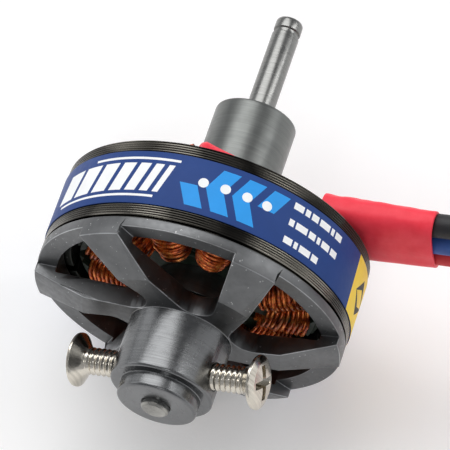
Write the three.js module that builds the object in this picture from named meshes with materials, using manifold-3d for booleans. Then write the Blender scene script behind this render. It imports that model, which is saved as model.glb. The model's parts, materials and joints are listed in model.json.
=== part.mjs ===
// Brushless outrunner motor of the small park-flyer class: 2 mm shaft, 22 mm bell.
// Millimetres. The motor's axis is Y: the mounting tube points to +Y and the propeller hub to -Y.
// The origin is on the axis, in the plane of the mounting tube's rear face. +Z is up.
import * as THREE from 'three';
import { mergeVertices } from 'three/addons/utils/BufferGeometryUtils.js';
import Module from 'manifold-3d';

const wasm = await Module();
wasm.setup();

const RAD = Math.PI / 180;

// Facets round a large turned part, the mounting tube and a small turned part
const LARGE_ROUND = 48;
const TUBE_ROUND = 32;
const SMALL_ROUND = 24;

// Shaft
const SHAFT_R = 1.0;
const SHAFT_FRONT = -23.95;
const SHAFT_REAR = 8.5;
const SHAFT_FIT = 0.02;
const CLIP_GROOVE = { front: 0.08, rear: 0.5, r: 0.78 };
const CLIP_R = 1.9;
const CLIP_HALF_GAP = 40 * RAD;
const WASHER_R = 1.6;
const TIP_GROOVE = { front: 7.24, rear: 7.56, r: 0.88 };

// Bell: end cap and flux ring
const BELL_R = 11.12;
const RING_BORE_R = 10.1;
const RING_FRONT = -15.06;
const RING_REAR = -9.0;
const CAP_SEAM = -15.13;
const RIM_FRONT = -15.9;
const RIM_BORE_R = 9.7;
const SPOKE_TIP_FRONT = -16.55;
const SPOKE_ROOT_FRONT = -17.8;
const SPOKE_BEND_R = 7.2;
const CAP_BACK = -16.3;
const SPIGOT_R = 10.06;
const SPIGOT_REAR = -14.35;
const HUB_R = 3.68;
const HUB_FRONT = -22.4;
const BOSS_R = 2.86;
const BOSS_FRONT = -23.5;

// The cap's spokes: each leans back from the radius, and its two sides are straight
const SPOKES = 6;
const FIRST_SPOKE = 4.5 * RAD;
const LEADING_SIDE = { offset: 1.62, lean: -0.3 };
const TRAILING_SIDE = { offset: -1.75, lean: -0.075 };
const WINDOW_CORNER_R = 1.4;

// Propeller screws, M2 with raised countersunk heads
const SCREW_ANGLE = 18.8 * RAD;
const SCREW_Y = -20.74;
const SCREW_R = 0.98;
const SCREW_HOLE_R = 1.0;
const SCREW_INNER = 1.12;
const HEAD_R = 1.9;
const HEAD_FROM = 6.08;
const HEAD_RIM = [6.78, 6.96];
const HEAD_TOP = 7.33;
const CROSS = { width: 0.42, depth: 0.9, length: 2.1, turn: 0.4 };

// Label round the flux ring
const LABEL_R = [11.14, 11.2];
const LABEL_Y = [-14.09, -9.95];

// Magnets
const MAGNETS = 14;
const MAGNET_R = [9.2, 10.04];
const MAGNET_Y = [-14.2, -9.5];
const MAGNET_ARC = 21.5 * RAD;

// Stator
const TUBE_R = 3.0;
const TUBE_BORE_R = 2.0;
const TUBE_FRONT = -15.85;
const BEARING_SEAT_R = 2.52;
const BEARING_WIDTH = 2.5;
const BEARING_INNER_R = 1.45;
const BEARING_SHIELD_R = [1.5, 1.97];
const BEARING_OUTER_R = [2.0, 2.48];
const SHIELD_RECESS = 0.2;
const SLOTS = 12;
const FIRST_SLOT = 18 * RAD;
const STACK = [-13.5, -9.5];
const STATOR_R = 8.95;
const STATOR_BORE_R = 3.04;
const YOKE_R = 4.4;
const TOOTH_HALF = 0.55;
const SHOE_FROM = 8.1;
const SHOE_HALF_ARC = 11 * RAD;
const INSULATOR_THICKNESS = 0.4;
const INSULATOR_GAP = 0.02;
const COIL_R = [4.65, 7.95];
const COIL_HALF = [1.12, 1.95];
const COIL_OPENING_HALF = 0.74;
const COIL_END_BUILD = 0.82;

// Leads: the sleeve that gathers them, the thin tube beside it, and the bullet plugs
const SLEEVE_START = new THREE.Vector3(6.9, -6.65, 0.05);
const SLEEVE_END = new THREE.Vector3(15.05, -6.65, 2.3);
const SLEEVE_MOUTH = { width: 6.4, thickness: 2.9 };
const SLEEVE_EXIT = { width: 5.9, thickness: 2.6 };
const SLEEVE_WALL = 0.25;
const PHASE_TUBE_R = 0.78;
const PHASE_TUBE_ENDS = [new THREE.Vector3(-2.1, -6.85, 6.3), new THREE.Vector3(4.9, -6.95, 3.3)];
const LEAD_R = 0.85;
const PLUG_GAP = 0.08;
const COVER_R = 1.3;
const COVER_LENGTH = 7.0;
const PIN_R = 1.0;
const PIN_LENGTH = 7.5;

// Each lead's centreline, from inside the sleeve to the mouth of its plug
const LEADS = {
  black: {
    colour: 0x17171a,
    route: [
      [8.6, -6.5, 2.3], [14.6, -6.5, 4.0], [17.4, -6.5, 4.8], [20.3, -6.3, 5.0],
      [23.1, -6.1, 4.8], [25.8, -5.7, 3.7], [28.1, -5.3, 2.0], [30.2, -4.9, 0.1],
      [32.4, -4.4, -1.9], [34.4, -4.0, -3.9], [36.5, -3.5, -5.8], [38.9, -3.0, -7.4],
      [41.5, -2.6, -8.6], [44.2, -2.2, -9.5], [47.1, -1.9, -9.8], [50.0, -1.6, -9.9],
    ],
  },
  blue: {
    colour: 0x1d4f9e,
    route: [
      [9.0, -6.8, 0.6], [15.1, -6.8, 2.3], [17.7, -6.8, 3.0], [20.4, -6.8, 3.1],
      [23.1, -6.9, 2.8], [25.6, -6.9, 1.7], [27.7, -6.9, 0.1], [29.7, -6.9, -1.7],
      [31.8, -6.9, -3.5], [33.8, -6.9, -5.3], [36.0, -6.8, -6.9], [38.4, -6.7, -8.2],
      [40.9, -6.7, -9.1], [43.6, -6.6, -9.7], [46.3, -6.6, -9.9], [49.0, -6.6, -9.9],
    ],
  },
  red: {
    colour: 0xb8242c,
    route: [
      [9.5, -6.7, -1.0], [15.5, -6.7, 0.6], [18.0, -6.7, 1.2], [20.6, -7.0, 1.2],
      [23.1, -7.3, 0.7], [25.4, -7.8, -0.3], [27.3, -8.3, -2.0], [29.1, -8.8, -3.7],
      [31.2, -9.2, -5.2], [33.3, -9.7, -6.6], [35.5, -10.1, -7.9], [37.9, -10.6, -8.8],
      [40.3, -11.0, -9.4], [42.9, -11.3, -9.8], [45.4, -11.5, -9.9], [48.0, -11.7, -9.9],
    ],
  },
};

// The bare phase wires, from the coils' rear ends into the sleeve and the thin tube
const PHASE_WIRE_R = 0.36;
const PHASE_WIRES = {
  a: [[3.7, -7.72, -3.4], [5.3, -7.4, -2.7], [7.04, -6.75, -1.55], [9.0, -6.65, -0.95]],
  b: [[4.9, -7.72, 1.6], [5.8, -7.3, 0.6], [6.9, -6.75, -0.02], [8.6, -6.65, 0.6]],
  c: [[5.2, -6.95, 3.17], [5.62, -6.9, 2.9], [6.05, -6.75, 2.4], [6.9, -6.65, 1.95], [8.15, -6.65, 2.12]],
  d: [[-2.4, -6.86, 6.4], [-2.7, -7.0, 6.25], [-3.0, -7.35, 5.95], [-3.3, -7.72, 5.55]],
};

const FINISHES = {
  cap: { color: 0x6f7072, roughness: 0.42, metalness: 0.9 },
  ring: { color: 0x77726b, roughness: 0.32, metalness: 1.0 },
  label: { color: 0x34508c, roughness: 0.45, metalness: 0.0 },
  magnet: { color: 0x8f9092, roughness: 0.35, metalness: 1.0 },
  shaft: { color: 0xa9a9ab, roughness: 0.25, metalness: 1.0 },
  screw: { color: 0xc9c2b4, roughness: 0.22, metalness: 1.0 },
  steel: { color: 0x8b8b8d, roughness: 0.3, metalness: 1.0 },
  shield: { color: 0x6b6459, roughness: 0.5, metalness: 0.6 },
  tube: { color: 0x8d8f91, roughness: 0.45, metalness: 0.9 },
  core: { color: 0x1e231d, roughness: 0.6, metalness: 0.1 },
  insulator: { color: 0x16201a, roughness: 0.55, metalness: 0.0 },
  copper: { color: 0xb8582a, roughness: 0.35, metalness: 0.8 },
  sleeve: { color: 0xcd3746, roughness: 0.45, metalness: 0.0 },
  gold: { color: 0xd3a541, roughness: 0.25, metalness: 1.0 },
};

const motor = new THREE.Group();
motor.name = 'outrunner_motor';

function addPiece(name, geometry, finish) {
  const mesh = new THREE.Mesh(geometry, new THREE.MeshStandardMaterial(finish));
  mesh.name = name;
  motor.add(mesh);
}

// Joins a geometry's equal corners and drops the flat triangles this leaves on an axis.
function welded(geometry) {
  const bare = geometry.clone();
  bare.deleteAttribute('normal');
  bare.deleteAttribute('uv');
  const merged = mergeVertices(bare, 1e-4);
  const source = merged.index.array;
  const corners = [];
  for (let i = 0; i < source.length; i += 3) {
    const [a, b, c] = [source[i], source[i + 1], source[i + 2]];
    if (a !== b && b !== c && c !== a) corners.push(a, b, c);
  }
  merged.setIndex(corners);
  return merged;
}

function toManifold(geometry) {
  const { attributes, index } = welded(geometry);
  return new wasm.Manifold(new wasm.Mesh({
    numProp: 3,
    vertProperties: new Float32Array(attributes.position.array),
    triVerts: new Uint32Array(index.array),
  }));
}

function toGeometry(manifold) {
  const mesh = manifold.getMesh();
  const geometry = new THREE.BufferGeometry();
  geometry.setAttribute('position', new THREE.BufferAttribute(new Float32Array(mesh.vertProperties), 3));
  geometry.setIndex([...mesh.triVerts]);
  return geometry;
}

// A body of revolution about Y. The profile is [radius, y] pairs, anticlockwise with the radius to
// the right, and it closes on itself unless it starts and ends on the axis.
function turned(profile, facets) {
  const onAxis = profile[0][0] === 0;
  const loop = onAxis ? profile : [...profile, profile[0]];
  return welded(new THREE.LatheGeometry(loop.map(([r, y]) => new THREE.Vector2(r, y)), facets));
}

function ring(innerR, outerR, front, rear, facets) {
  return turned([[innerR, front], [outerR, front], [outerR, rear], [innerR, rear]], facets);
}

// A flat outline in X and Z, given a thickness along Y.
function prism(outline, front, rear, holes = []) {
  const shape = new THREE.Shape(outline);
  shape.holes = holes.map((hole) => new THREE.Path(hole));
  const geometry = new THREE.ExtrudeGeometry(shape, { depth: rear - front, bevelEnabled: false });
  return welded(geometry.rotateX(Math.PI / 2).translate(0, rear, 0));
}

function polar(r, angle) {
  return new THREE.Vector2(r * Math.cos(angle), r * Math.sin(angle));
}

function arc(r, from, to, steps) {
  const points = [];
  for (let i = 0; i <= steps; i += 1) points.push(polar(r, from + ((to - from) * i) / steps));
  return points;
}

// One straight side of a spoke as a point at the rim and a direction towards the hub.
function spokeSide(side, angle) {
  const origin = new THREE.Vector2();
  return {
    at: new THREE.Vector2(BELL_R, side.offset).rotateAround(origin, angle),
    inward: new THREE.Vector2(-1, side.lean).normalize().rotateAround(origin, angle),
  };
}

function whereSideMeetsCircle({ at, inward }, r) {
  const along = at.dot(inward);
  const distance = -along - Math.sqrt(along * along - at.lengthSq() + r * r);
  return at.clone().addScaledVector(inward, distance);
}

function whereSidesMeet(a, b) {
  const gap = b.at.clone().sub(a.at);
  return a.at.clone().addScaledVector(a.inward, gap.cross(b.inward) / a.inward.cross(b.inward));
}

// The opening between a spoke and the next, out to a radius, with a round corner at the hub.
function windowOutline(spoke, outerR) {
  const angle = FIRST_SPOKE + (spoke * 2 * Math.PI) / SPOKES;
  const near = spokeSide(LEADING_SIDE, angle);
  const far = spokeSide(TRAILING_SIDE, angle + (2 * Math.PI) / SPOKES);
  const start = whereSideMeetsCircle(near, outerR);
  const end = whereSideMeetsCircle(far, outerR);
  const corner = whereSidesMeet(near, far);
  const half = Math.acos(near.inward.dot(far.inward)) / 2;
  const middle = near.inward.clone().add(far.inward).negate().normalize();
  const centre = corner.clone().addScaledVector(middle, WINDOW_CORNER_R / Math.sin(half));
  const turn = Math.PI / 2 - half;
  const back = Math.atan2(-middle.y, -middle.x);
  const round = [];
  for (let i = 0; i <= 6; i += 1) {
    round.push(polar(WINDOW_CORNER_R, back + turn - (turn * i) / 3).add(centre));
  }
  return [...arc(outerR, start.angle(), end.angle(), 6), ...round.reverse()];
}

// --- Rotor -----------------------------------------------------------------------------------

function makeBellCap() {
  const bore = SHAFT_R + SHAFT_FIT;
  const profile = [
    [bore, BOSS_FRONT], [BOSS_R - 0.15, BOSS_FRONT], [BOSS_R, BOSS_FRONT + 0.15], [BOSS_R, HUB_FRONT],
    [HUB_R - 0.2, HUB_FRONT], [HUB_R, HUB_FRONT + 0.2], [HUB_R, SPOKE_ROOT_FRONT - 0.3],
    [HUB_R + 0.3, SPOKE_ROOT_FRONT], [SPOKE_BEND_R, SPOKE_ROOT_FRONT], [BELL_R, SPOKE_TIP_FRONT],
    [BELL_R, CAP_SEAM - 0.05], [BELL_R - 0.05, CAP_SEAM], [SPIGOT_R, CAP_SEAM], [SPIGOT_R, SPIGOT_REAR],
    [RIM_BORE_R, SPIGOT_REAR], [RIM_BORE_R, CAP_BACK], [bore, CAP_BACK],
  ];
  let cap = toManifold(turned(profile, LARGE_ROUND));
  for (let spoke = 0; spoke < SPOKES; spoke += 1) {
    const opening = prism(windowOutline(spoke, RIM_BORE_R), HUB_FRONT, RING_REAR);
    const rimStep = prism(windowOutline(spoke, BELL_R + 1), HUB_FRONT, RIM_FRONT);
    cap = cap.subtract(toManifold(opening)).subtract(toManifold(rimStep));
  }
  const screwHole = new THREE.CylinderGeometry(SCREW_HOLE_R, SCREW_HOLE_R, 3 * HUB_R, SMALL_ROUND);
  return toGeometry(cap.subtract(toManifold(facingOut(screwHole, SCREW_ANGLE))));
}

// Turns a body built along Y to lie along a radius at the screws' height.
function facingOut(geometry, angle) {
  return geometry.rotateZ(-Math.PI / 2).rotateY(-angle).translate(0, SCREW_Y, 0);
}

function makePropScrew(angle) {
  const profile = [
    [0, SCREW_INNER], [SCREW_R - 0.15, SCREW_INNER], [SCREW_R, SCREW_INNER + 0.2], [SCREW_R, HEAD_FROM],
    [HEAD_R, HEAD_RIM[0]], [HEAD_R, HEAD_RIM[1]], [HEAD_R * 0.72, HEAD_TOP - 0.12],
    [HEAD_R * 0.38, HEAD_TOP - 0.02], [0, HEAD_TOP],
  ];
  let screw = toManifold(turned(profile, SMALL_ROUND));
  for (const turn of [0, Math.PI / 2]) {
    const slot = new THREE.BoxGeometry(CROSS.width, 2 * CROSS.depth, CROSS.length);
    slot.rotateY(turn + CROSS.turn).translate(0, HEAD_TOP, 0);
    screw = screw.subtract(toManifold(slot));
  }
  return facingOut(toGeometry(screw), angle);
}

function makeShaft() {
  const r = SHAFT_R;
  return turned([
    [0, SHAFT_FRONT], [r - 0.2, SHAFT_FRONT], [r, SHAFT_FRONT + 0.2],
    [r, CLIP_GROOVE.front], [CLIP_GROOVE.r, CLIP_GROOVE.front],
    [CLIP_GROOVE.r, CLIP_GROOVE.rear], [r, CLIP_GROOVE.rear],
    [r, TIP_GROOVE.front], [TIP_GROOVE.r, TIP_GROOVE.front],
    [TIP_GROOVE.r, TIP_GROOVE.rear], [r, TIP_GROOVE.rear],
    [r, SHAFT_REAR - 0.3], [r - 0.3, SHAFT_REAR], [0, SHAFT_REAR],
  ], SMALL_ROUND);
}

function makeFluxRing() {
  return turned([
    [RING_BORE_R, RING_FRONT], [BELL_R - 0.06, RING_FRONT], [BELL_R, RING_FRONT + 0.06],
    [BELL_R, RING_REAR - 0.08], [BELL_R - 0.08, RING_REAR], [RING_BORE_R, RING_REAR],
  ], LARGE_ROUND);
}

function makeMagnet(index) {
  const middle = (index * 2 * Math.PI) / MAGNETS;
  const [from, to] = [middle - MAGNET_ARC / 2, middle + MAGNET_ARC / 2];
  const outline = [...arc(MAGNET_R[1], from, to, 4), ...arc(MAGNET_R[0], to, from, 4)];
  return prism(outline, MAGNET_Y[0], MAGNET_Y[1]);
}

// The clip is an open ring, with its gap to one side so that it can be pushed over the shaft.
function makeRetainingClip() {
  const outline = [
    ...arc(CLIP_R, CLIP_HALF_GAP, 2 * Math.PI - CLIP_HALF_GAP, 16),
    ...arc(CLIP_GROOVE.r + 0.04, 2 * Math.PI - CLIP_HALF_GAP, CLIP_HALF_GAP, 12),
  ];
  return prism(outline, CLIP_GROOVE.front + 0.04, CLIP_GROOVE.rear - 0.04);
}

// --- Stator ----------------------------------------------------------------------------------

function makeMountingTube() {
  const seat = BEARING_WIDTH + 0.1;
  return turned([
    [BEARING_SEAT_R, TUBE_FRONT], [TUBE_R, TUBE_FRONT], [TUBE_R, -0.15], [TUBE_R - 0.05, -0.04],
    [TUBE_R - 0.15, 0], [BEARING_SEAT_R, 0], [BEARING_SEAT_R, -seat], [TUBE_BORE_R, -seat],
    [TUBE_BORE_R, TUBE_FRONT + seat], [BEARING_SEAT_R, TUBE_FRONT + seat],
  ], TUBE_ROUND);
}

function statorOutline(toothHalf, outerR, halfArc) {
  const outline = [];
  for (let slot = 0; slot < SLOTS; slot += 1) {
    const angle = FIRST_SLOT + (slot * 2 * Math.PI) / SLOTS;
    const side = (x, y) => new THREE.Vector2(x, y).rotateAround(new THREE.Vector2(), angle);
    const root = Math.sqrt(YOKE_R * YOKE_R - toothHalf * toothHalf);
    outline.push(side(root, -toothHalf), side(SHOE_FROM, -toothHalf));
    outline.push(...arc(outerR, angle - halfArc, angle + halfArc, 3));
    outline.push(side(SHOE_FROM, toothHalf), side(root, toothHalf));
  }
  return outline;
}

function makeStatorPlate(toothHalf, outerR, halfArc, front, rear) {
  const hole = arc(STATOR_BORE_R, 2 * Math.PI, 0, TUBE_ROUND).slice(1);
  return prism(statorOutline(toothHalf, outerR, halfArc), front, rear, [hole]);
}

function roundedRectangle(halfWidth, halfHeight, r, steps) {
  const points = [];
  for (let corner = 0; corner < 4; corner += 1) {
    const x = (halfWidth - r) * (corner === 0 || corner === 3 ? 1 : -1);
    const y = (halfHeight - r) * (corner < 2 ? 1 : -1);
    const start = (corner * Math.PI) / 2;
    for (const point of arc(r, start, start + Math.PI / 2, steps)) {
      points.push(point.add(new THREE.Vector2(x, y)));
    }
  }
  return points;
}

// A coil wound round one tooth: a rounded loop along the tooth, cut to the wedge of its slot.
function makeCoil(slot) {
  const opening = (STACK[1] - STACK[0]) / 2 + INSULATOR_THICKNESS + 0.06;
  const loop = new THREE.Shape(roundedRectangle(COIL_HALF[1], opening + COIL_END_BUILD, 1.1, 3));
  loop.holes = [new THREE.Path(roundedRectangle(COIL_OPENING_HALF, opening, 0.15, 1).reverse())];
  const length = COIL_R[1] - COIL_R[0];
  const wound = new THREE.ExtrudeGeometry(loop, { depth: length, bevelEnabled: false });
  wound.rotateY(Math.PI / 2).translate(COIL_R[0], (STACK[0] + STACK[1]) / 2, 0);
  const wedge = prism([
    new THREE.Vector2(COIL_R[0] - 0.1, -COIL_HALF[0]), new THREE.Vector2(COIL_R[1] + 0.1, -COIL_HALF[1]),
    new THREE.Vector2(COIL_R[1] + 0.1, COIL_HALF[1]), new THREE.Vector2(COIL_R[0] - 0.1, COIL_HALF[0]),
  ], STACK[0] - 3, STACK[1] + 3);
  const coil = toGeometry(toManifold(wound).intersect(toManifold(wedge)));
  return coil.rotateY(-(FIRST_SLOT + (slot * 2 * Math.PI) / SLOTS));
}

// --- Leads -----------------------------------------------------------------------------------

// A straight rod from one point to another.
function rod(from, to, r, facets) {
  const along = to.clone().sub(from);
  const geometry = new THREE.CylinderGeometry(r, r, along.length(), facets);
  geometry.applyQuaternion(new THREE.Quaternion().setFromUnitVectors(new THREE.Vector3(0, 1, 0),
    along.clone().normalize()));
  const middle = from.clone().lerp(to, 0.5);
  return welded(geometry.translate(middle.x, middle.y, middle.z));
}

// A flat tube that narrows from its mouth to its exit, made by joining two stadium outlines.
function flatTaper(mouth, exit, inset, overrun) {
  const along = SLEEVE_END.clone().sub(SLEEVE_START);
  const length = along.length();
  const outline = (size) => roundedRectangle(
    size.thickness / 2 - inset, size.width / 2 - inset, size.thickness / 2 - inset - 0.01, 4);
  const [a, b] = [outline(mouth), outline(exit)];
  const corners = [];
  a.forEach((point) => corners.push([-overrun, point.x, point.y]));
  b.forEach((point) => corners.push([length + overrun, point.x, point.y]));
  const hull = wasm.Manifold.hull(corners);
  const geometry = toGeometry(hull);
  geometry.rotateY(-Math.atan2(along.z, along.x));
  return geometry.translate(SLEEVE_START.x, SLEEVE_START.y, SLEEVE_START.z);
}

function makeLeadSleeve() {
  const outside = toManifold(flatTaper(SLEEVE_MOUTH, SLEEVE_EXIT, 0, 0));
  const inside = toManifold(flatTaper(SLEEVE_MOUTH, SLEEVE_EXIT, SLEEVE_WALL, 0.5));
  return toGeometry(outside.subtract(inside));
}

// A round wire along a smooth curve through the route's points.
function makeWire(route, r, steps) {
  const curve = new THREE.CatmullRomCurve3(route.map((point) => new THREE.Vector3(...point)));
  const section = new THREE.Shape(arc(r, 0, 2 * Math.PI, 8).slice(0, 8));
  const geometry = new THREE.ExtrudeGeometry(section, { steps, extrudePath: curve });
  return welded(geometry);
}

// A bullet plug: a heat-shrink cover over the solder cup, and the bare pin in front of it.
function addPlug(colourName, route, colour) {
  const end = new THREE.Vector3(...route[route.length - 1]);
  const before = new THREE.Vector3(...route[route.length - 2]);
  const along = end.clone().sub(before).setZ(0).normalize();
  const at = (distance) => end.clone().addScaledVector(along, distance);
  const coverEnd = PLUG_GAP + COVER_LENGTH;
  addPiece(`bullet_cover_${colourName}`, rod(at(PLUG_GAP), at(coverEnd), COVER_R, SMALL_ROUND / 2), {
    color: colour, roughness: 0.5, metalness: 0,
  });
  addPiece(`bullet_pin_${colourName}`, rod(at(coverEnd + 0.02), at(coverEnd + PIN_LENGTH), PIN_R,
    SMALL_ROUND / 2), FINISHES.gold);
}

// --- Assembly --------------------------------------------------------------------------------

addPiece('bell_cap', makeBellCap(), FINISHES.cap);
addPiece('flux_ring', makeFluxRing(), FINISHES.ring);
addPiece('label_band', ring(LABEL_R[0], LABEL_R[1], LABEL_Y[0], LABEL_Y[1], LARGE_ROUND), FINISHES.label);
for (let i = 0; i < MAGNETS; i += 1) {
  addPiece(`magnet_${String(i + 1).padStart(2, '0')}`, makeMagnet(i), FINISHES.magnet);
}
addPiece('shaft', makeShaft(), FINISHES.shaft);
addPiece('prop_screw_right', makePropScrew(SCREW_ANGLE), FINISHES.screw);
addPiece('prop_screw_left', makePropScrew(SCREW_ANGLE + Math.PI), FINISHES.screw);
addPiece('retaining_clip', makeRetainingClip(), FINISHES.steel);
const washer = ring(SHAFT_R + SHAFT_FIT, WASHER_R, CAP_BACK + 0.02, TUBE_FRONT - 0.03, SMALL_ROUND);
addPiece('spacer_washer', washer, FINISHES.steel);

const bearings = { front: TUBE_FRONT + 0.02, rear: -BEARING_WIDTH - 0.02 };
for (const [end, front] of Object.entries(bearings)) {
  const rear = front + BEARING_WIDTH;
  const inner = ring(SHAFT_R + SHAFT_FIT, BEARING_INNER_R, front, rear, SMALL_ROUND);
  const shield = ring(...BEARING_SHIELD_R, front + SHIELD_RECESS, rear - SHIELD_RECESS, SMALL_ROUND);
  const outer = ring(...BEARING_OUTER_R, front, rear, SMALL_ROUND);
  addPiece(`bearing_${end}_inner`, inner, FINISHES.steel);
  addPiece(`bearing_${end}_shield`, shield, FINISHES.shield);
  addPiece(`bearing_${end}_outer`, outer, FINISHES.steel);
}

addPiece('mounting_tube', makeMountingTube(), FINISHES.tube);
addPiece('stator_core', makeStatorPlate(TOOTH_HALF, STATOR_R, SHOE_HALF_ARC, STACK[0], STACK[1]),
  FINISHES.core);
const insulators = {
  front: [STACK[0] - INSULATOR_GAP - INSULATOR_THICKNESS, STACK[0] - INSULATOR_GAP],
  rear: [STACK[1] + INSULATOR_GAP, STACK[1] + INSULATOR_GAP + INSULATOR_THICKNESS],
};
for (const [end, [front, rear]] of Object.entries(insulators)) {
  const plate = makeStatorPlate(TOOTH_HALF + 0.12, STATOR_R - 0.3, SHOE_HALF_ARC * 0.9, front, rear);
  addPiece(`insulator_${end}`, plate, FINISHES.insulator);
}
for (let slot = 0; slot < SLOTS; slot += 1) {
  addPiece(`coil_${String(slot + 1).padStart(2, '0')}`, makeCoil(slot), FINISHES.copper);
}

addPiece('phase_tube', rod(PHASE_TUBE_ENDS[0], PHASE_TUBE_ENDS[1], PHASE_TUBE_R, SMALL_ROUND / 2),
  FINISHES.sleeve);
for (const [letter, route] of Object.entries(PHASE_WIRES)) {
  addPiece(`phase_wire_${letter}`, makeWire(route, PHASE_WIRE_R, 6), FINISHES.copper);
}
addPiece('lead_sleeve', makeLeadSleeve(), FINISHES.sleeve);
for (const [colourName, { colour, route }] of Object.entries(LEADS)) {
  const insulation = { color: colour, roughness: 0.5, metalness: 0 };
  addPiece(`lead_${colourName}`, makeWire(route, LEAD_R, 16), insulation);
  addPlug(colourName, route, colour);
}

export default motor;
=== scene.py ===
"""A small brushless outrunner motor: spoked bell, wound stator, propeller screws, leads and plugs.

The shapes are given in millimetres, in the part's own frame: the motor's axis is Y, the propeller
end is towards -Y and the mounting tube's rear face is at the origin. Each mesh is turned to metres
when it is made.
"""

import json
import math

import bmesh
import bpy
from mathutils import Matrix, Vector, noise

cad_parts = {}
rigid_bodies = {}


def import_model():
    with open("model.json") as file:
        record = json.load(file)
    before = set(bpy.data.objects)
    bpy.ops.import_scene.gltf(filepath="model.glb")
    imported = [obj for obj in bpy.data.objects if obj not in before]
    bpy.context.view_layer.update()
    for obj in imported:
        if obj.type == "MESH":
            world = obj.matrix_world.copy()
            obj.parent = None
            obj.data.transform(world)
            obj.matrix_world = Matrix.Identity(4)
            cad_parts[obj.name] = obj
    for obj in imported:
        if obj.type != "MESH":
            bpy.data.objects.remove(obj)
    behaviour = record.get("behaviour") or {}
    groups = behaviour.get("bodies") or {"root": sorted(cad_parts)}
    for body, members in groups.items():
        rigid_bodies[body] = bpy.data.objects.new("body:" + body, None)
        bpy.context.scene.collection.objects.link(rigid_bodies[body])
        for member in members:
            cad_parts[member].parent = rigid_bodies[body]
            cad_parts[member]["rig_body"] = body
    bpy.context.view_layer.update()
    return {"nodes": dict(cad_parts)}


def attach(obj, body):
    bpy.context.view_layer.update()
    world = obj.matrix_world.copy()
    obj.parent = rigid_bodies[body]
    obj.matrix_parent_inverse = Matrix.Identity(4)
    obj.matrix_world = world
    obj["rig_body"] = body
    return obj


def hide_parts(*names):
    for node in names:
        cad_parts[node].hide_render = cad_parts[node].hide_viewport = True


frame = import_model()

MM = 0.001
TURN = 2 * math.pi
RAD = math.pi / 180

# Shaft
SHAFT_R = 1.0
SHAFT_FRONT = -23.95
SHAFT_REAR = 8.5
BORE_CLEARANCE = 0.02

# Grooves in the shaft: the front and rear edge, and the radius of the floor
CLIP_GROOVE = (0.08, 0.5, 0.78)
TIP_GROOVE = (7.23, 7.57, 0.87)

# Retaining clip and spacer washer
CLIP_R = 1.9
CLIP_HALF_GAP = 40 * RAD
WASHER_R = 1.6

# Bell: end cap and flux ring
BELL_R = 11.12
RING_BORE_R = 10.1
RING_FRONT = -15.06
RING_REAR = -9.0
CAP_SEAM = -15.13
RIM_FRONT = -15.9
RIM_BORE_R = 9.7
SPOKE_TIP_FRONT = -16.55
SPOKE_ROOT_FRONT = -17.8
SPOKE_BEND_R = 7.2
CAP_BACK = -16.3
SPIGOT_R = 10.06
SPIGOT_REAR = -14.35
HUB_R = 3.68
HUB_FRONT = -22.4
BOSS_R = 2.86
BOSS_FRONT = -23.5

# Spokes: the offset of each side at the rim, and how far it leans for each unit inwards
SPOKES = 6
FIRST_SPOKE = 4.5 * RAD
LEADING_SIDE = (1.62, -0.3)
TRAILING_SIDE = (-1.75, -0.075)
WINDOW_CORNER_R = 1.4
CAP_SEGMENTS = 240

# The bell cap's materials, by their place in its list. The rounded edges are lighter: partly wear,
# partly a painted highlight.
BLASTED, WORN_AND_HIGHLIT_EDGE, LATHE_TURNED = range(3)

# Propeller screws
SCREW_ANGLE = 18.8 * RAD
SCREW_Y = -20.74
SCREW_R = 0.98
SCREW_HOLE_R = 1.0
HOLE_REACH = 6
SCREW_INNER = 1.12
THREAD_PITCH = 0.4
HEAD_R = 1.9
HEAD_FROM = 6.08
HEAD_RIM = (6.78, 6.96)
HEAD_TOP = 7.33

# Label
LABEL_R = (11.14, 11.2)
LABEL_Y = (-14.09, -9.95)
LABEL_MIDDLE = sum(LABEL_Y) / 2
PRINT_LIFT = 0.004
PRINT_STEP = 2
INKS = {"label_blue": (46, 73, 134), "label_white": (254, 255, 255), "label_sky": (56, 160, 240),
        "label_yellow": (255, 220, 74), "label_black": (40, 38, 36)}

# Magnets
MAGNETS = 14
MAGNET_R = (9.2, 10.04)
MAGNET_Y = (-14.2, -9.5)
MAGNET_ARC = 21.5 * RAD

# Stator
TUBE_R = 3.0
TUBE_BORE_R = 2.0
TUBE_FRONT = -15.85
BEARING_SEAT_R = 2.52
BEARING_WIDTH = 2.5
BEARING_INNER_R = 1.4
BEARING_OUTER_R = 2.0
SHIELD_R = (1.43, 1.62, 1.98)
SHIELD_RECESS = (0.22, 0.14, 0.1)
SLOTS = 12
FIRST_SLOT = 18 * RAD
STACK = (-13.5, -9.5)
STATOR_R = 8.95
STATOR_BORE_R = 3.04
YOKE_R = 4.4
TOOTH_HALF = 0.55
SHOE_FROM = 8.1
SHOE_HALF_ARC = 11 * RAD
INSULATOR_THICKNESS = 0.4
COIL_R = (4.65, 7.95)
COIL_HALF = (1.12, 1.95)
WIRE_R = 0.13
WIRE_PITCH = 0.31
STACK_HALF = 2.0
END_TURN_REACH = 3.45
END_TURN_FALL = 0.2
END_TURN_SPREAD = 0.62

# Sleeves, phase wires, leads and plugs
SLEEVE_START = Vector((6.9, -6.65, 0.05))
SLEEVE_END = Vector((15.05, -6.65, 2.3))
SLEEVE_MOUTH = (6.4, 2.9)
SLEEVE_EXIT = (5.9, 2.6)
SLEEVE_WALL = 0.25

# The sleeve's two ends are cut at an angle: how far each is moved along at its middle and its edge
SLEEVE_MOUTH_CUT = (0.35, 0.35)
SLEEVE_EXIT_CUT = (0.15, 0.4)

PHASE_TUBE_R = 0.78
PHASE_TUBE_ENDS = (Vector((-2.1, -6.85, 6.3)), Vector((4.9, -6.95, 3.3)))
PHASE_WIRE_R = 0.36
LEAD_R = 0.85
PLUG_GAP = 0.03
COVER_R = 1.3
COVER_LENGTH = 7.0
PIN_R = 1.0
PIN_LENGTH = 7.5

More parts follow.
